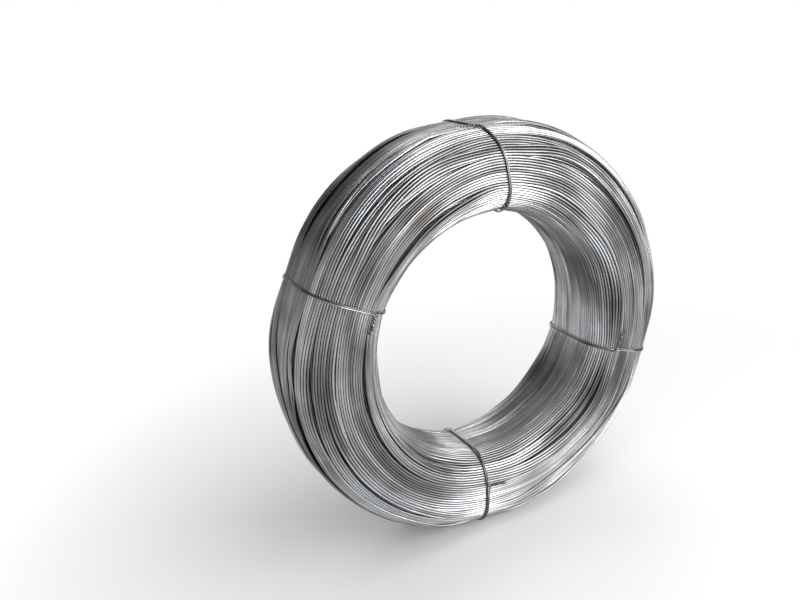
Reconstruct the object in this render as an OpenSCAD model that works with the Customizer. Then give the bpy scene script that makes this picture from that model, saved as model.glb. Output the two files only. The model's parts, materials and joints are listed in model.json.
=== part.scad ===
// Coil of wire rod standing on its rim, bound by four twisted wire ties.
// The origin is the middle of the eye, the coil's axis lies along Y and its front face looks towards -Y.
// A place round the coil is an angle from straight up towards -X.
// A place round the winding's section is the angle of its outward normal:
// 0 on the rim, 90 on the front face, 180 in the eye and 270 on the back face.

/* [Winding] */
// Diameter of the eye
eye_d = 550; // [400:1:800]
// Depth of the winding from the eye to the rim
build_up = 186; // [160:1:260]
// Width of the winding along the coil's axis
width = 220; // [170:1:340]
// Radius of the winding's rounded edges
edge_r = 73; // [40:1:76]
// Diameter of the rod
rod_d = 5.5; // [5:0.1:9]
// Depth to which neighbouring turns bed into each other
turn_bed = 0.25; // [0.1:0.05:0.5]
// Depth to which the inner turns are worn flat in the eye
eye_wear = 0.3; // [0.1:0.05:0.6]

/* [Tie wire] */
// Diameter of the tie wire
tie_d = 3; // [2:0.1:4]
// Gap between a tie and the turns that it binds
tie_gap = 0.3; // [0.25:0.05:0.6]
// Gap between the strands of a tie
strand_gap = 0.3; // [0.2:0.05:0.6]
// Length of the twisted ends of a tie
twist_len = 38; // [20:1:60]
// Length of one full twist
twist_pitch = 15; // [12:1:24]

/* [Tie places] */
// Place of the top tie round the coil
top_place = -7; // [-20:0.5:20]
// Place of the left tie round the coil
left_place = 60.5; // [40:0.5:80]
// Place of the bottom tie round the coil, clear of the floor
bottom_place = 169; // [155:0.5:169]
// Place of the right tie round the coil
right_place = 248; // [230:0.5:265]
// Sideways lean of the top tie, in degrees round the coil
top_lean = 4.5; // [-6:0.1:6]
// Sideways lean of the left tie
left_lean = 0; // [-6:0.1:6]
// Sideways lean of the bottom tie
bottom_lean = 1.6; // [-2:0.1:2]
// Sideways lean of the right tie
right_lean = 0; // [-6:0.1:6]
// Place of the top tie's twist round the section
top_twist = 12; // [5:1:85]
// Place of the left tie's twist round the section
left_twist = 107; // [95:1:130]
// Place of the bottom tie's twist round the section
bottom_twist = 94; // [92:1:130]
// Place of the right tie's twist round the section
right_twist = 98; // [92:1:130]

/* [Hidden] */

$fn = 180;
eye_r = eye_d / 2;
section_u = (build_up + eye_wear) / 2;
mid_r = eye_r + build_up - section_u;
steel = [0.66, 0.66, 0.67];
tie_steel = [0.42, 0.41, 0.40];

// The section's corners are arcs about these centres, so the rods, the core and the ties share them
corner_u = section_u - edge_r;
corner_v = width / 2 - edge_r;
rod_path_r = edge_r - rod_d / 2;
corner_arc = PI / 2 * rod_path_r;
rod_path = 4 * (corner_u + corner_v + corner_arc);
turns = ceil(rod_path / (rod_d - turn_bed));
// Sides of a turn's section, few because there are so many turns
rod_sides = 12;

// A tie wraps the section twice and its ends are twisted together over the middle strand
wraps = 2;
tie_path_r = edge_r + tie_gap + tie_d / 2;
strand_pitch = tie_d + strand_gap;
twist_r = strand_pitch / 2;
twist_lift = strand_pitch + strand_gap;
lead_len = 4 * tie_d;
lead_turn = lead_len / tie_path_r * 180 / PI;
lead_ease = 2.4;
lean_from = -20;

// In the eye a tie beds into the inner turns, flush with them, so that the eye stays clear
bed_depth = tie_d + tie_gap;
bed_turn = acos(1 - (bed_depth + eye_wear) / tie_path_r);
bed_room = wraps * strand_pitch + tie_d + 2 * tie_gap;

// Steps of the ties' paths and sides of their wire
corner_steps = 12;
lead_steps = 7;
twist_steps = 10;
tie_sides = 8;

function normal(a) = [cos(a), sin(a)];
function corner(i) = [(i % 4 == 0 || i % 4 == 3 ? 1 : -1) * corner_u, (i % 4 < 2 ? 1 : -1) * corner_v];
function flat(i) = norm(corner(i) - corner(i + 3));
function unit(v) = v / norm(v);

// Point of the rods' path at a distance s, from the back end of the rim's flat stretch
function rod_point(s, i = 0) =
    s <= flat(i) ? corner(i + 3) + (corner(i) - corner(i + 3)) * s / flat(i) + rod_path_r * normal(90 * i)
    : s <= flat(i) + corner_arc ? corner(i) + rod_path_r * normal(90 * (i + (s - flat(i)) / corner_arc))
    : rod_point(s - flat(i) - corner_arc, i + 1);

// Centre of a turn, counted from the one in the middle of the rim
function turn_point(k) = rod_point(flat(0) / 2 + k * rod_path / turns);

// Place in space of a section point: its radial and axial offsets, at a place round the coil
function around(uv, place) = [-(mid_r + uv[0]) * sin(place), -uv[1], (mid_r + uv[0]) * cos(place)];
function outward(a, place) = [-cos(a) * sin(place), -sin(a), cos(a) * cos(place)];
function sideways(place) = [-cos(place), 0, -sin(place)];
function leaning(a, place, lean) = place + lean * cos(a - lean_from);

// Place on a corner of the section at a step of a tie's path, which runs straight through the eye
function corner_step(i, j) =
    let (from = 90 * i + (i % 4 == 2 ? bed_turn : 0), to = 90 * (i + 1) - (i % 4 == 1 ? bed_turn : 0))
    from + (to - from) * j / corner_steps;

// Sideways run of a leaning tie between the middle of the eye and an end of its bed
function bed_run(lean, end) =
    abs(leaning(180 + end * bed_turn, 0, lean) - leaning(180, 0, lean)) * PI / 180 * eye_r;

// Cubic curve between two points with two handles
function curve(p, t) =
    pow(1 - t, 3) * p[0] + 3 * pow(1 - t, 2) * t * p[1] + 3 * (1 - t) * t * t * p[2] + pow(t, 3) * p[3];

// Point of a tie that wraps the section, a strand's width further sideways after each wrap
function wrap_point(i, a, place, lean, from) =
    let (at = leaning(a, place, lean))
    around(corner(i) + tie_path_r * normal(a), at)
        + ((a - from) / 360 - wraps / 2) * strand_pitch * sideways(at);

// Wraps of a tie, without the leads to its twist at either end
function wrap_points(place, lean, from) =
    [for (i = [floor(from / 90) : floor(from / 90) + 4 * wraps], j = [0 : corner_steps])
        let (a = corner_step(i, j))
        if (a > from + lead_turn && a < from + 360 * wraps - lead_turn)
            wrap_point(i, a, place, lean, from)];

// One strand of the twist, which runs sideways from the tie: side 1 joins the first wrap, -1 the last
function twist_points(base, s, t, n, side) =
    [for (k = [0 : ceil(twist_steps * twist_len / twist_pitch)])
        let (z = twist_pitch * k / twist_steps, a = 360 * k / twist_steps)
        base + z * t + side * twist_r * (cos(a) * s - sin(a) * n)];

// Whole path of a tie: one end, the twist, the wraps, the twist again and the other end
function tie_path(place, lean, from) =
    let (at = leaning(from, place, lean),
         n = outward(from, at),
         t = sideways(at),
         s = cross(n, t),
         spot = around(corner(floor(from / 90)) + tie_path_r * normal(from), at),
         base = spot + wraps * strand_pitch * t + twist_lift * n,
         wrap = wrap_points(place, lean, from),
         first = wrap[0],
         last = wrap[len(wrap) - 1],
         twist_a = twist_points(base, s, t, n, 1),
         twist_b = twist_points(base, s, t, n, -1),
         lead_a = [twist_a[0], twist_a[0] + lead_ease * (twist_a[0] - twist_a[1]),
                   first - lead_len / 2 * unit(wrap[1] - first) + twist_lift * n, first],
         lead_b = [last, last + lead_len / 2 * unit(last - wrap[len(wrap) - 2]),
                   twist_b[0] + lead_ease * (twist_b[0] - twist_b[1]), twist_b[0]])
    concat([for (k = [len(twist_a) - 1 : -1 : 0]) twist_a[k]],
           [for (k = [1 : lead_steps - 1]) curve(lead_a, k / lead_steps)],
           wrap,
           [for (k = [1 : lead_steps - 1]) curve(lead_b, k / lead_steps)],
           twist_b);

// Direction of a path at each of its points
function along(path) =
    [for (i = [0 : len(path) - 1]) unit(path[min(i + 1, len(path) - 1)] - path[max(i - 1, 0)])];

// Side directions carried along a path without turning about it
function carried(dirs) =
    [for (i = 0, w = unit(cross(dirs[0], [0.3, 0.5, 0.8])); i < len(dirs);
          i = i + 1, w = i < len(dirs) ? unit(w - (w * dirs[i]) * dirs[i]) : w) w];

// Round wire swept along a path
module wire(path, d) {
    dirs = along(path);
    side = carried(dirs);
    rings = [for (i = [0 : len(path) - 1], k = [0 : tie_sides - 1])
        let (a = 360 * k / tie_sides)
        path[i] + d / 2 * (cos(a) * side[i] + sin(a) * cross(dirs[i], side[i]))];
    last = tie_sides * (len(path) - 1);
    walls = [for (i = [0 : len(path) - 2], k = [0 : tie_sides - 1])
        let (a = i * tie_sides + k, b = i * tie_sides + (k + 1) % tie_sides)
        each [[a, a + tie_sides, b], [b, a + tie_sides, b + tie_sides]]];
    start = [for (k = [0 : tie_sides - 1]) k];
    end = [for (k = [tie_sides - 1 : -1 : 0]) last + k];
    polyhedron(rings, concat(walls, [start, end]));
}

// Half section of the winding: rods all round a full core, dressed to the eye
module winding_section() {
    difference() {
        translate([mid_r, 0]) {
            polygon([for (k = [0 : turns - 1]) turn_point(k)]);
            for (k = [0 : turns - 1]) translate(turn_point(k)) circle(d = rod_d, $fn = rod_sides);
        }
        translate([0, -width]) square([eye_r, 2 * width]);
    }
}

// Shallow bed across the inner turns, in which a tie lies
module tie_bed(place, lean) {
    room = bed_room + 2 * max(bed_run(lean, 1), bed_run(lean, -1));
    rotate([0, -leaning(180, place, lean), 0])
        translate([-room / 2, -width / 2, eye_r - bed_depth]) cube([room, width, 2 * bed_depth]);
}

module coil() {
    color(steel) difference() {
        rotate([90, 0, 0]) rotate_extrude() winding_section();
        tie_bed(top_place, top_lean);
        tie_bed(left_place, left_lean);
        tie_bed(bottom_place, bottom_lean);
        tie_bed(right_place, right_lean);
    }
}

module tie(place, lean, twist) {
    color(tie_steel) wire(tie_path(place, lean, twist), tie_d);
}

coil();
tie(top_place, top_lean, top_twist);  // tie_top
tie(left_place, left_lean, left_twist);  // tie_left
tie(bottom_place, bottom_lean, bottom_twist);  // tie_bottom
tie(right_place, right_lean, right_twist);  // tie_right
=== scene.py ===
"""Coil of wire rod: turns of real rod in place of the frame's turned winding, and four twisted ties.

A place round the coil is an angle from straight up towards -X, and a place round the winding's section is
the angle of its outward normal: 0 on the rim, 90 on the front face, 180 in the eye, 270 on the back face.
A run round the section is the distance along it from the middle of the rim, scaled to a full turn.
"""

import json

import bpy
import numpy as np
from mathutils import Matrix, Vector


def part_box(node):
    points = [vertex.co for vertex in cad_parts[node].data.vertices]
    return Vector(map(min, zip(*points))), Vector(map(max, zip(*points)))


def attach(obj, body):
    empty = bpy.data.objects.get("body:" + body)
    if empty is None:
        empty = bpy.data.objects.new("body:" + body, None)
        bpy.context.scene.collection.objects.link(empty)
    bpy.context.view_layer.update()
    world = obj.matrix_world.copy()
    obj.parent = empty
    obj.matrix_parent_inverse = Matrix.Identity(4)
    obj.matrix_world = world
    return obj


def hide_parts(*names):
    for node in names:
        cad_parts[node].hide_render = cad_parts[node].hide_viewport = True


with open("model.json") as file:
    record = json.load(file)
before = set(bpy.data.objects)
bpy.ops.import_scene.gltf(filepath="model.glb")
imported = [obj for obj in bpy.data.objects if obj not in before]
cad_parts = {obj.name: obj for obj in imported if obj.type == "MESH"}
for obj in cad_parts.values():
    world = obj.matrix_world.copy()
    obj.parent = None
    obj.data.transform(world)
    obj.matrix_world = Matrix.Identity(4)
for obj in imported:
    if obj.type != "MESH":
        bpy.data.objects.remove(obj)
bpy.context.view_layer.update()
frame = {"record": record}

MM = 0.001
TURN = 2 * np.pi
QUARTER = np.pi / 2

# Sizes of the winding, from the frame
eye_r = frame["record"]["mounts"][0]["dims"]["r_mm"] * MM
coil_low, coil_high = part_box("coil")
outer_r = coil_high[2]
half_width = coil_high[1]
floor_z = coil_low[2]
mid_r = (eye_r + outer_r) / 2

# Sizes of the rod and the rounded edges, as in the part
edge_r = 73 * MM
rod_d = 5.5 * MM
turn_pitch = 5.25 * MM
corner_u = (outer_r - eye_r) / 2 - edge_r
corner_v = half_width - edge_r

# Sizes of the ties, as in the part
tie_d = 3 * MM
tie_gap = 0.3 * MM
strand_pitch = 3.3 * MM
twist_len = 38 * MM
twist_pitch = 15 * MM
wraps = 2
lean_from = np.radians(-20)
lead_len = 4 * tie_d
lead_reach = 0.24 * twist_pitch
bed_sink = tie_d + 2 * tie_gap
tie_path_r = edge_r + tie_gap + tie_d / 2
ties = {
    "tie_top": {"place": -7, "lean": 4.5, "twist": 12},
    "tie_left": {"place": 60.5, "lean": 0, "twist": 107},
    "tie_bottom": {"place": 169, "lean": 1.6, "twist": 94},
    "tie_right": {"place": 248, "lean": 0, "twist": 98},
}

# Fineness of the ties, and the tilt that keeps their twists off the bulging turns
tie_sides = 10
tie_corner_steps = 24
twist_points = 64
lead_points = 18
twist_tilt = 0.05

# Layers of turns from the skin inwards, each lying in the hollows of the next, and the ring behind them
layer_step = 4.9 * MM
skin_count = 121
skin_stations = 180
skin_sides = 8
under_counts = {"second_turns": 110, "third_turns": 106}
under_stations = 150
under_sides = 6
core_stations = 192
core_points = 96

# Gaps: the share of turns that end a bundle, the weights of the gaps, and the drift of a whole layer
bundle_ends = 0.28
least_gap = 0.02
loose_gap = 0.22
swell_middle = 0.2
layer_drift = 7 * MM

# Stray bundles: how many, their most turns, their swing and their climb
stray_count = 26
stray_turns = 4
stray_swing = (5 * MM, 15 * MM)
stray_climb = 0.95 * rod_d

# Angle from the middle of the eye within which no bundle strays, and the angle over which straying fades in
calm_turn = np.radians(50)
calm_fade = np.radians(30)

# Heights of the turns: the bulge between the ties, its share in the eye, and lumps of bundles and turns
bulge = 3.2 * MM
eye_bulge = 0.1
bundle_lump = 1.1 * MM
turn_lump = 0.45 * MM

# Hold of a tie round the coil, in degrees: on the gaps, on the heights and on the turns that it beds into
gap_hold = 15
height_hold = 11
bed_hold = 4.5

# Power by which a tie's bed fades out round the section, away from the eye
bed_fade = 6

# Sheen: weights of bundles, of single turns and of short waves, painted gap shade per layer under the skin,
# and the ties' own
bundle_sheen = 0.36
turn_sheen = 0.14
short_sheen = 0.12
# Painted shade: each layer under the skin is darkened by this much, so that the gaps between the skin's
# turns look deeper
under_layer_painted_shade = 0.42
tie_sheen = 0.5

# Waves round the coil or along a tie: their numbers of waves, and the power by which short ones are smaller
gap_waves = {"modes": range(1, 7), "power": 1.0}
drift_waves = {"modes": range(1, 4), "power": 0.5}
stray_waves = {"modes": range(1, 5), "power": 1.0}
bundle_waves = {"modes": (2, 3, 5, 7, 9, 11, 13), "power": 0.3}
turn_waves = {"modes": range(3, 16, 2), "power": 0.2}
sheen_waves = {"modes": range(1, 9), "power": 0.3}
short_waves = {"modes": range(4, 14, 3), "power": 0.0}
tie_waves = {"modes": (2, 3, 5, 8, 13), "power": 0.0}

# Marks on the steel: draw marks along and round the wire, broad waviness, and what counts as dull or bright
mark_scale = (14, 5, 1)
mark_depth = 0.02 * MM
wavy_scale = 9
patch_weight = 1.8
dull_below = -1
bright_above = 1.2

# Floor: its size and grey, and the distances from the coil's middle between which it turns white
floor_radius = 25.0
floor_corners = 128
floor_grey = (0.85, 0.85, 0.85, 1)
white_from = 0.5
white_to = 1.3

# Room: heights as sines of the angle above level, between which white walls shade to a dim ceiling
wall_top = 0.2
ceiling_from = 0.6
ceiling_light = 0.15

# Lamps: directions from the coil's middle in degrees, distance and size in metres, power in watts
lamp_distance = 2.6
lamps = {
    "front": {"azimuth": 32, "height": 11, "size": (2.3, 1.95), "power": 104},
    "overhead": {"azimuth": 45, "height": 66, "size": (1.6, 1.6), "power": 20},
    "back": {"azimuth": 157, "height": 35, "size": (2.6, 1.6), "power": 25},
}

# Camera of the photograph: its place, what its axis meets, its upward direction, and its lens
camera_place = Vector((-2.2394, -3.815, 2.0577)) * outer_r
camera_aim = Vector((-0.2669, 0.2219, 0.1556)) * outer_r
camera_up = Vector((0.28865, 0.2890, 0.91281))
camera_lens = 44.89
camera_sensor = 36

rng = np.random.default_rng(27)


def unit(x):
    """Vectors of length one."""
    return x / np.linalg.norm(x, axis=-1, keepdims=True)


def section(s, r):
    """Rounded rectangle round the winding's section, at corner radius r, by the distance s along it.

    The middle of the rim is s = 0. A corner's centre stands still while the normal turns through it, and
    the normal stands still while the centre runs along a flat, so both are straight-line functions of s.
    Returns the centre's radial and axial offsets and the normal's angle.
    """
    arc = QUARTER * r
    steps = [0, corner_v, arc, 2 * corner_u, arc, 2 * corner_v, arc, 2 * corner_u, arc, corner_v]
    knots = np.cumsum(steps)
    s = np.mod(s, knots[-1])
    u = np.interp(s, knots, corner_u * np.array([1, 1, 1, -1, -1, -1, -1, 1, 1, 1]))
    v = np.interp(s, knots, corner_v * np.array([0, 1, 1, 1, 1, -1, -1, -1, -1, 0]))
    a = np.interp(s, knots, QUARTER * np.array([0, 0, 1, 1, 2, 2, 3, 3, 4, 4]))
    return u, v, a


def section_length(r):
    """Length round the section at corner radius r: four flats and a full turn."""
    return 4 * (corner_u + corner_v) + TURN * r


def around(u, v, place):
    """Point at radial and axial offsets u and v from the section's middle, at a place round the coil."""
    r = mid_r + u
    return np.stack([-r * np.sin(place), -v + 0 * place, r * np.cos(place)], axis=-1)


def outward(a, place):
    """Outward normal of the section at its angle a, at a place round the coil."""
    return np.stack([-np.cos(a) * np.sin(place), -np.sin(a), np.cos(a) * np.cos(place)], axis=-1)


def sideways(place):
    """Direction along the turns at a place round the coil."""
    return np.stack([-np.cos(place), 0 * place, -np.sin(place)], axis=-1)


def waves(count, place, modes, power):
    """Smooth random curves, in about -1 to 1: sums of whole waves with random sizes and phases.

    A wave's size falls with the given power of its number of waves, and each curve's sizes are scaled so
    that their squares add up to one.
    """
    modes = np.asarray(modes)
    size = unit(rng.normal(size=(count, len(modes))) / modes**power)
    phase = rng.uniform(0, TURN, size=(count, len(modes)))
    return np.einsum("km,kmp->kp", size, np.cos(modes[:, None] * place + phase[..., None]))


def leaning(place, lean, run):
    """Place of a tie that swings sideways once each way on its run round the section."""
    return place + lean * np.cos(run - lean_from)


def near_ties(place, run, spread):
    """How close a point is to a tie: 1 under it, falling as a bell of the given spread in degrees."""
    close = np.zeros(np.broadcast(place, run).shape)
    for tie in ties.values():
        at = leaning(np.radians(tie["place"]), np.radians(tie["lean"]), run)
        off = np.mod(place - at + np.pi, TURN) - np.pi
        close = np.maximum(close, np.exp(-((np.degrees(off) / spread) ** 2)))
    return close


def spread_turns(count, place, length, even):
    """Distances of a layer's turns round a section of this length, and the bundle that each belongs to.

    The turns lie side by side, bedded as in the part, and the length that they leave free is shared out as
    gaps. Each turn keeps a small gap of its own. The gaps between bundles swell and close in smooth waves
    and shut where even falls to nought, near the ties. The layer drifts to and fro as a whole.
    """
    own_gap = rng.random((count, 1)) ** 2
    bundle_end = rng.random(count) < bundle_ends
    swell = np.clip(waves(count, place, **gap_waves) + swell_middle, 0, None) ** 2
    share = least_gap + loose_gap * own_gap + bundle_end[:, None] * swell * even
    gap = (length - count * turn_pitch) * share / share.sum(axis=0)
    drift = layer_drift * waves(1, place, **drift_waves)
    s = drift + np.arange(count)[:, None] * turn_pitch + np.cumsum(gap, axis=0) - gap
    return s, np.cumsum(bundle_end)


def stray_swings(count, place, strays):
    """Sideways swings of a few stray bundles in smooth random waves, and nought for all other turns."""
    swings = np.zeros((count, len(place)))
    for first in rng.choice(count, strays, replace=False):
        swing = rng.uniform(*stray_swing) * waves(1, place, **stray_waves)
        swings[first:first + rng.integers(1, stray_turns + 1)] = swing
    return swings


def sheen_and_painted_shade_of_turns(bundle, place, layer):
    """Sheen of a layer's turns: smooth waves along a bundle, and a little from turn to turn.

    The layers under the skin are darkened by painted shade, which makes the gaps between the skin's turns
    look deeper.
    """
    count = len(bundle)
    shared = waves(bundle[-1] + 1, place, **sheen_waves)[bundle]
    sheen = bundle_sheen * shared + turn_sheen * rng.normal(size=(count, 1))
    # Minus painted shade: each layer under the skin is darkened, so that the gaps between the skin's turns
    # look deeper
    return sheen + short_sheen * waves(count, place, **short_waves) - under_layer_painted_shade * layer


def lay_turns(count, stations, layer, strays=0):
    """One layer of turns: centre lines and outward normals, count x stations x 3, and their sheen.

    Each turn has a distance round the section and a height over it. Stray bundles leave their distance
    outside the eye, climb over their neighbours on a round curve and come back at each tie. The height is
    a bulge between the ties, most on the rim, with smooth lumps. Under a tie it is nought, and in the eye
    the tie presses the turns outwards. No turn comes into the eye or under the floor.
    """
    place = np.arange(stations) * TURN / stations
    r = edge_r - rod_d / 2 - layer * layer_step
    length = section_length(r)
    even = 1 - near_ties(place, TURN * np.arange(count)[:, None] / count, gap_hold)
    s, bundle = spread_turns(count, place, length, even)

    outside = np.clip((np.abs(section(s, r)[2] - np.pi) - calm_turn) / calm_fade, 0, 1)
    wander = stray_swings(count, place, strays) * even**2 * outside
    reach = np.clip(np.abs(wander) / rod_d, 0, 1)
    climb = stray_climb * np.sqrt(1 - (1 - reach) ** 2)
    u, v, a = section(s + wander, r)
    run = TURN * (s + wander) / length

    lump = waves(bundle[-1] + 1, place, **bundle_waves)[bundle]
    own = waves(count, place, **turn_waves)
    proud = (1 + eye_bulge) / 2 + (1 - eye_bulge) / 2 * np.cos(a)
    rise = proud * bulge + (bundle_lump * (lump + 1) + turn_lump * own) / (1 + layer)
    free = 1 - near_ties(place, run, height_hold)
    in_eye = np.clip(-np.cos(a), 0, 1) ** bed_fade
    pressed = bed_sink * in_eye * near_ties(place, run, bed_hold)
    h = r + climb + free * rise - pressed

    u = np.maximum(u + h * np.cos(a), eye_r + rod_d / 2 - mid_r)
    path = around(u, v + h * np.sin(a), place)
    path[..., 2] = np.maximum(path[..., 2], floor_z + rod_d / 2)
    # On a layer under the skin, the returned sheen also holds painted shade that darkens the gaps
    return path, outward(a, place), sheen_and_painted_shade_of_turns(bundle, place, layer)


def tie_place(i, a, place, lean):
    """Place round the coil of a leaning tie, where its normal is at angle a on corner i of the section."""
    length = section_length(tie_path_r)
    half_flat = np.where(i % 2 == 0, corner_v, corner_u)
    distance = i * length / 4 + half_flat + tie_path_r * (a - QUARTER * i)
    return leaning(place, lean, TURN * distance / length)


def tie_point(i, a, at):
    """Point of a tie on corner i of the section, at normal angle a and at a place round the coil."""
    u = np.where(np.isin(i % 4, (0, 3)), corner_u, -corner_u) + tie_path_r * np.cos(a)
    v = np.where(i % 4 < 2, corner_v, -corner_v) + tie_path_r * np.sin(a)
    return around(u, v, at)


def tie_wraps(place, lean, start):
    """Wraps of a tie from a normal angle on, without the leads to its twist at either end.

    They follow the section's corners at the tie's own radius, run straight through their bed in the eye
    and step sideways by a strand at each wrap.
    """
    first = start // QUARTER
    i = np.repeat(first + np.arange(4 * wraps + 1), tie_corner_steps + 1)
    t = np.tile(np.arange(tie_corner_steps + 1) / tie_corner_steps, 4 * wraps + 1)
    bed = np.arccos(1 - bed_sink / tie_path_r)
    low = QUARTER * i + np.where(i % 4 == 2, bed, 0)
    high = QUARTER * (i + 1) - np.where(i % 4 == 1, bed, 0)
    a = low + (high - low) * t
    lead_turn = lead_len / tie_path_r
    kept = (a > start + lead_turn) & (a < start + TURN * wraps - lead_turn)
    i, a = i[kept], a[kept]
    at = tie_place(i, a, place, lean)
    step = ((a - start) / TURN - wraps / 2) * strand_pitch
    return tie_point(i, a, at) + step[:, None] * sideways(at)


def curve(points, count):
    """Cubic curve between two points with two handles, at evenly spaced steps without its ends."""
    t = np.linspace(0, 1, count)[1:-1, None]
    a, b, c, d = points
    return (1 - t)**3 * a + 3 * (1 - t)**2 * t * b + 3 * (1 - t) * t**2 * c + t**3 * d


def tie_path(place, lean, twist):
    """Centre line of a tie, by the part's rule but with a smoother lean: twist, lead, wraps, lead, twist.

    Both ends leave the wraps on cubic curves and wind round each other as a left-handed pair, on a spine
    that runs sideways from the tie and tilts a little outwards.
    """
    place, lean, start = np.radians([place, lean, twist])
    wrap = tie_wraps(place, lean, start)
    at = tie_place(start // QUARTER, start, place, lean)
    n = outward(start, at)
    t = sideways(at)
    lift = strand_pitch + tie_gap
    base = tie_point(start // QUARTER, start, at) + wraps * strand_pitch * t + lift * n

    z = np.linspace(0, twist_len, twist_points)[:, None]
    turn = TURN * z / twist_pitch
    spine = base + z * unit(t + twist_tilt * n)
    spiral = strand_pitch / 2 * (np.cos(turn) * np.cross(n, t) - np.sin(turn) * n)
    first, last = spine + spiral, spine - spiral

    first_handle = first[0] + lead_reach * (first[0] - first[1]) / (z[1] - z[0])
    last_handle = last[0] + lead_reach * (last[0] - last[1]) / (z[1] - z[0])
    wrap_start = wrap[0] - lead_len / 2 * unit(wrap[1] - wrap[0]) + lift * n
    wrap_end = wrap[-1] + lead_len / 2 * unit(wrap[-1] - wrap[-2])
    lead_in = curve([first[0], first_handle, wrap_start, wrap[0]], lead_points)
    lead_out = curve([wrap[-1], wrap_end, last_handle, last[0]], lead_points)
    return np.concatenate([first[::-1], lead_in, wrap, lead_out, last])


def carried(path):
    """Side directions carried along a path without turning about it, one step after the other.

    The first is square to the path and to a slanted direction along which no tie starts.
    """
    slanted = (0.3, 0.5, 0.8)
    along = unit(np.gradient(path, axis=0))
    w = unit(np.cross(along[0], slanted))
    sides = []
    for d in along:
        w = unit(w - (w @ d) * d)
        sides.append(w)
    return np.array(sides)


def tubes(path, normal, radius, sides, closed):
    """Round wires along paths: at each point a circle in the plane across the path.

    path and normal are wires x points x 3. The circle's first direction is the normal made square to the
    path, and its second is square to both. Returns the vertices, as wires x points x sides x 3.
    """
    if closed:
        along = unit(np.roll(path, -1, axis=1) - np.roll(path, 1, axis=1))
    else:
        along = unit(np.gradient(path, axis=1))
    out = unit(normal - (normal * along).sum(axis=-1, keepdims=True) * along)
    side = np.cross(along, out)
    t = np.arange(sides) * TURN / sides
    ring = np.cos(t)[:, None] * out[..., None, :] + np.sin(t)[:, None] * side[..., None, :]
    return path[..., None, :] + radius * ring


def wire_mesh(name, verts, closed, sheen):
    """Mesh of wires from their rings of vertices, with a UV map in metres and turns, and their sheen.

    Each quad joins two neighbours on a ring to the same two on the next ring. Open wires get their ends
    closed by a flat face.
    """
    wires, points, sides = verts.shape[:3]
    spans = points if closed else points - 1
    w, i, j = np.meshgrid(np.arange(wires), np.arange(spans), np.arange(sides), indexing="ij")
    corner_i = np.stack([i, i, i + 1, i + 1], axis=-1)
    corner_j = np.stack([j, j + 1, j + 1, j], axis=-1)
    index = (w[..., None] * points + corner_i % points) * sides + corner_j % sides
    quads = index.reshape(-1, 4)
    centre = verts.mean(axis=2)
    step = np.linalg.norm(np.roll(centre, -1, axis=1) - centre, axis=-1)
    run = np.concatenate([np.zeros((wires, 1)), np.cumsum(step, axis=1)], axis=1)
    uv = np.stack([run[w[..., None], corner_i], corner_j / sides], axis=-1).reshape(-1, 2)

    ends = []
    if not closed:
        first = np.arange(wires)[:, None] * points * sides + np.arange(sides)
        last = first + (points - 1) * sides
        ends = [*first[:, ::-1], *last]
    loops = np.concatenate([quads.ravel(), *ends]).astype(np.int32)
    sizes = np.concatenate([np.full(len(quads), 4), np.full(len(ends), sides)])
    starts = (np.cumsum(sizes) - sizes).astype(np.int32)
    uv = np.concatenate([uv, np.zeros((len(ends) * sides, 2))])

    mesh = bpy.data.meshes.new(name)
    mesh.vertices.add(wires * points * sides)
    mesh.vertices.foreach_set("co", verts.astype(np.float32).ravel())
    mesh.loops.add(len(loops))
    mesh.loops.foreach_set("vertex_index", loops)
    mesh.polygons.add(len(sizes))
    mesh.polygons.foreach_set("loop_start", starts)
    mesh.polygons.foreach_set("use_smooth", np.arange(len(sizes)) < len(quads))
    mesh.uv_layers.new(name="length").data.foreach_set("uv", uv.astype(np.float32).ravel())
    # Sheen attribute: random bright and dull steel, and on the layers under the skin also painted shade
    # that darkens the gaps
    kept = mesh.attributes.new("sheen", "FLOAT", "POINT")
    kept.data.foreach_set("value", np.repeat(sheen, sides).astype(np.float32))
    mesh.update()
    mesh.validate()
    piece = bpy.data.objects.new(name, mesh)
    bpy.context.scene.collection.objects.link(piece)
    return piece


def finish_piece(piece, material, node):
    """Gives a piece its material and ties it to the frame."""
    piece.data.materials.append(material)
    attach(piece, "root")
    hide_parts(node)


def make_rods(name, turns, sides, material):
    """Piece of round rods from the centre lines, normals and sheen of its turns."""
    path, normal, sheen = turns
    rings = tubes(path, normal, rod_d / 2, sides, closed=True)
    finish_piece(wire_mesh(name, rings, closed=True, sheen=sheen), material, "coil")


def make_turns(material):
    """Turns of rod: the skin in two halves, then the two layers that show through its gaps."""
    skin = lay_turns(skin_count, skin_stations, 0, stray_count)
    half = skin_count // 2
    make_rods("front_turns", [each[:half] for each in skin], skin_sides, material)
    make_rods("back_turns", [each[half:] for each in skin], skin_sides, material)
    # The layers under the skin carry painted shade in their sheen, which darkens the gaps in the skin
    for layer, (name, count) in enumerate(under_counts.items(), start=1):
        make_rods(name, lay_turns(count, under_stations, layer), under_sides, material)


def make_hidden_turns(material):
    """The hidden turns: the section behind the third layer, carried round the coil as one closed ring."""
    place = np.arange(core_stations)[:, None] * TURN / core_stations
    r = edge_r - rod_d - len(under_counts) * layer_step
    s = np.arange(core_points)[::-1] * section_length(r) / core_points
    u, v, a = section(s, r)
    ring = around(u + r * np.cos(a), v + r * np.sin(a), place)[None]
    piece = wire_mesh("hidden_turns", ring, closed=True, sheen=np.zeros(ring.shape[:2]))
    finish_piece(piece, material, "coil")


def make_ties(material):
    """Ties: round wire along each tie's centre line, with its own slow changes of sheen."""
    for name, tie in ties.items():
        line = tie_path(tie["place"], tie["lean"], tie["twist"])
        rings = tubes(line[None], carried(line)[None], tie_d / 2, tie_sides, closed=False)
        sheen = tie_sheen * waves(1, np.linspace(0, TURN, len(line)), **tie_waves)
        piece = wire_mesh(name + "_wire", rings, closed=False, sheen=sheen)
        finish_piece(piece, material, name)


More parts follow.
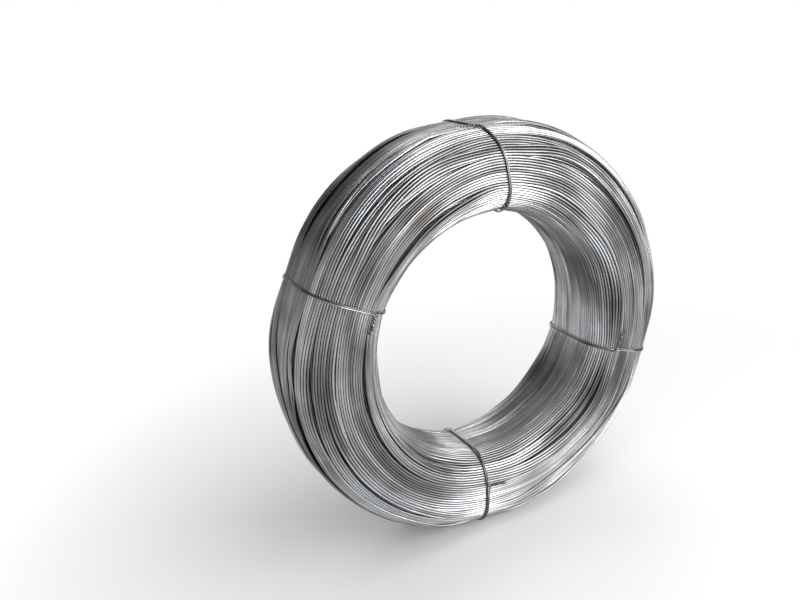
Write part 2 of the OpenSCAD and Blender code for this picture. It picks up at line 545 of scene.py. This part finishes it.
def steel_marks():
    """Shader group shared by rod and tie wire: sheen, dull patches, draw marks along the wire and waviness.

    Patches, marks and sheen add up to a brightness between dull and bright, which mixes the two colours
    and the two roughnesses. Height is in metres: broad waves that the wire keeps from its coiling, and
    fine marks along it.
    """
    group = bpy.data.node_groups.new("steel_marks", "ShaderNodeTree")
    for name in ("Bright", "Dull"):
        group.interface.new_socket(name, in_out="INPUT", socket_type="NodeSocketColor")
    for name in ("Patch Size", "Middle", "Smooth", "Rough", "Waviness"):
        group.interface.new_socket(name, in_out="INPUT", socket_type="NodeSocketFloat")
    group.interface.new_socket("Color", in_out="OUTPUT", socket_type="NodeSocketColor")
    for name in ("Roughness", "Height"):
        group.interface.new_socket(name, in_out="OUTPUT", socket_type="NodeSocketFloat")
    nodes, links = group.nodes, group.links
    into = nodes.new("NodeGroupInput")
    out = nodes.new("NodeGroupOutput")

    def feed(socket, value):
        """Sets a socket to a number or links it to another socket."""
        if isinstance(value, (int, float)):
            socket.default_value = value
        else:
            links.new(value, socket)

    def noise(vector, scale, detail):
        """Noise from 0 to 1 at a scale over the given coordinates."""
        node = nodes.new("ShaderNodeTexNoise")
        feed(node.inputs["Vector"], vector)
        feed(node.inputs["Scale"], scale)
        feed(node.inputs["Detail"], detail)
        return node.outputs["Fac"]

    def math(operation, first, second):
        """Result of an operation on two numbers or sockets."""
        node = nodes.new("ShaderNodeMath")
        node.operation = operation
        feed(node.inputs[0], first)
        feed(node.inputs[1], second)
        return node.outputs[0]

    def mix(data_type, factor, first, second):
        """Blend from a first to a second input of the group by a factor."""
        node = nodes.new("ShaderNodeMix")
        node.data_type = data_type
        links.new(factor, node.inputs["Factor"])
        links.new(into.outputs[first], node.inputs["A"])
        links.new(into.outputs[second], node.inputs["B"])
        return node.outputs["Result"]

    coords = nodes.new("ShaderNodeTexCoord")
    stretch = nodes.new("ShaderNodeMapping")
    stretch.inputs["Scale"].default_value = mark_scale
    links.new(coords.outputs["UV"], stretch.inputs["Vector"])
    # The sheen attribute also carries painted shade on the layers under the skin, darkening the gaps
    sheen = nodes.new("ShaderNodeAttribute")
    sheen.attribute_name = "sheen"
    patches = noise(coords.outputs["Object"], into.outputs["Patch Size"], detail=3)
    marks = noise(stretch.outputs["Vector"], 1, detail=4)
    broad = noise(coords.outputs["Object"], wavy_scale, detail=1)

    noise_middle = 0.5
    total = math("MULTIPLY", math("SUBTRACT", patches, noise_middle), patch_weight)
    total = math("ADD", total, math("SUBTRACT", marks, noise_middle))
    total = math("ADD", math("ADD", total, sheen.outputs["Fac"]), into.outputs["Middle"])
    masked = nodes.new("ShaderNodeMapRange")
    masked.interpolation_type = "SMOOTHSTEP"
    masked.inputs["From Min"].default_value = dull_below
    masked.inputs["From Max"].default_value = bright_above
    links.new(total, masked.inputs["Value"])
    brightness = masked.outputs["Result"]

    links.new(mix("RGBA", brightness, "Dull", "Bright"), out.inputs["Color"])
    links.new(mix("FLOAT", brightness, "Rough", "Smooth"), out.inputs["Roughness"])
    wavy = math("MULTIPLY", broad, into.outputs["Waviness"])
    links.new(math("ADD", wavy, math("MULTIPLY", marks, mark_depth)), out.inputs["Height"])
    return group


def steel(name, group, values):
    """Bare steel wire: the shared marks drive its colour, roughness and the tilt of its surface."""
    material = bpy.data.materials.new(name)
    material.use_nodes = True
    nodes, links = material.node_tree.nodes, material.node_tree.links
    shader = nodes["Principled BSDF"]
    shader.inputs["Metallic"].default_value = 1
    marks = nodes.new("ShaderNodeGroup")
    marks.node_tree = group
    for socket, value in values.items():
        marks.inputs[socket].default_value = value
    relief = nodes.new("ShaderNodeBump")
    relief.inputs["Distance"].default_value = 1
    links.new(marks.outputs["Color"], shader.inputs["Base Color"])
    links.new(marks.outputs["Roughness"], shader.inputs["Roughness"])
    links.new(marks.outputs["Height"], relief.inputs["Height"])
    links.new(relief.outputs["Normal"], shader.inputs["Normal"])
    return material


def white_for_lens(nodes, links):
    """Factor that is 1 for what the lens, gloss and glass see, and 0 for light that falls on surfaces."""
    path = nodes.new("ShaderNodeLightPath")
    total = path.outputs["Is Camera Ray"]
    for ray in ("Is Glossy Ray", "Is Transmission Ray"):
        node = nodes.new("ShaderNodeMath")
        node.operation = "MAXIMUM"
        links.new(total, node.inputs[0])
        links.new(path.outputs[ray], node.inputs[1])
        total = node.outputs[0]
    return total


def floor_material():
    """Plain pale grey that turns to the backdrop's white far from the coil."""
    material = bpy.data.materials.new("pale_floor")
    material.use_nodes = True
    nodes, links = material.node_tree.nodes, material.node_tree.links
    nodes.clear()
    matte = nodes.new("ShaderNodeBsdfDiffuse")
    matte.inputs["Color"].default_value = floor_grey
    glow = nodes.new("ShaderNodeEmission")
    coords = nodes.new("ShaderNodeTexCoord")
    distance = nodes.new("ShaderNodeVectorMath")
    distance.operation = "LENGTH"
    fade = nodes.new("ShaderNodeMapRange")
    fade.inputs["From Min"].default_value = white_from
    fade.inputs["From Max"].default_value = white_to
    both = nodes.new("ShaderNodeMath")
    both.operation = "MULTIPLY"
    blend = nodes.new("ShaderNodeMixShader")
    out = nodes.new("ShaderNodeOutputMaterial")
    links.new(coords.outputs["Object"], distance.inputs[0])
    links.new(distance.outputs["Value"], fade.inputs["Value"])
    links.new(fade.outputs["Result"], both.inputs[0])
    links.new(white_for_lens(nodes, links), both.inputs[1])
    links.new(both.outputs[0], blend.inputs["Fac"])
    links.new(matte.outputs[0], blend.inputs[1])
    links.new(glow.outputs[0], blend.inputs[2])
    links.new(blend.outputs[0], out.inputs["Surface"])
    return material


def make_floor():
    """Floor: one flat disc, level with the lowest point of the coil."""
    t = np.arange(floor_corners) * TURN / floor_corners
    verts = np.stack([floor_radius * np.cos(t), floor_radius * np.sin(t), 0 * t + floor_z], axis=-1)
    mesh = bpy.data.meshes.new("floor")
    mesh.from_pydata(verts.tolist(), [], [list(range(floor_corners))])
    mesh.materials.append(floor_material())
    floor = bpy.data.objects.new("floor", mesh)
    bpy.context.scene.collection.objects.link(floor)


def make_world():
    """Studio room: white walls up to a low height, shading to a dim ceiling."""
    world = bpy.data.worlds.new("studio")
    world.use_nodes = True
    bpy.context.scene.world = world
    nodes, links = world.node_tree.nodes, world.node_tree.links
    room = nodes["Background"]
    coords = nodes.new("ShaderNodeTexCoord")
    split = nodes.new("ShaderNodeSeparateXYZ")
    shade = nodes.new("ShaderNodeMapRange")
    shade.interpolation_type = "SMOOTHSTEP"
    shade.inputs["From Min"].default_value = wall_top
    shade.inputs["From Max"].default_value = ceiling_from
    shade.inputs["To Min"].default_value = 1
    shade.inputs["To Max"].default_value = ceiling_light
    links.new(coords.outputs["Generated"], split.inputs["Vector"])
    links.new(split.outputs["Z"], shade.inputs["Value"])
    links.new(shade.outputs["Result"], room.inputs["Color"])
    room.inputs["Strength"].default_value = 1


def make_lamp(name, azimuth, height, size, power):
    """Soft area light, turned towards the coil's middle: azimuth 0 is in front, and height is an angle."""
    a, h = np.radians([azimuth, height])
    place = lamp_distance * np.array([np.sin(a) * np.cos(h), -np.cos(a) * np.cos(h), np.sin(h)])
    light = bpy.data.lights.new(name, "AREA")
    light.shape = "RECTANGLE"
    light.size, light.size_y = size
    light.energy = power
    lamp = bpy.data.objects.new(name, light)
    lamp.location = place
    lamp.rotation_mode = "QUATERNION"
    lamp.rotation_quaternion = Vector(-place).to_track_quat("-Z", "Y")
    lamp.visible_camera = False
    bpy.context.scene.collection.objects.link(lamp)


def make_camera():
    """Camera of the photograph, from its place, its aim and its own upward direction."""
    data = bpy.data.cameras.new("camera")
    data.sensor_width = camera_sensor
    data.lens = camera_lens
    camera = bpy.data.objects.new("camera", data)
    ahead = (camera_aim - camera_place).normalized()
    right = ahead.cross(camera_up).normalized()
    up = right.cross(ahead)
    turned = Matrix((right, up, -ahead)).transposed().to_4x4()
    camera.matrix_world = Matrix.Translation(camera_place) @ turned
    bpy.context.scene.collection.objects.link(camera)
    bpy.context.scene.camera = camera


marks_group = steel_marks()
rod_steel = steel("bright_rod", marks_group, {
    "Bright": (0.632, 0.655, 0.68, 1), "Dull": (0.112, 0.105, 0.1, 1), "Patch Size": 7.0, "Middle": -0.15,
    "Smooth": 0.2, "Rough": 0.36, "Waviness": 3 * MM})
tie_steel = steel("tie_wire", marks_group, {
    "Bright": (0.42, 0.42, 0.42, 1), "Dull": (0.066, 0.065, 0.064, 1), "Patch Size": 30.0, "Middle": -0.2,
    "Smooth": 0.25, "Rough": 0.4, "Waviness": 1 * MM})
make_turns(rod_steel)
make_hidden_turns(rod_steel)
make_ties(tie_steel)

make_floor()
make_world()
for lamp_name, lamp_values in lamps.items():
    make_lamp(lamp_name, **lamp_values)
make_camera()
bpy.context.scene.view_settings.view_transform = "Standard"
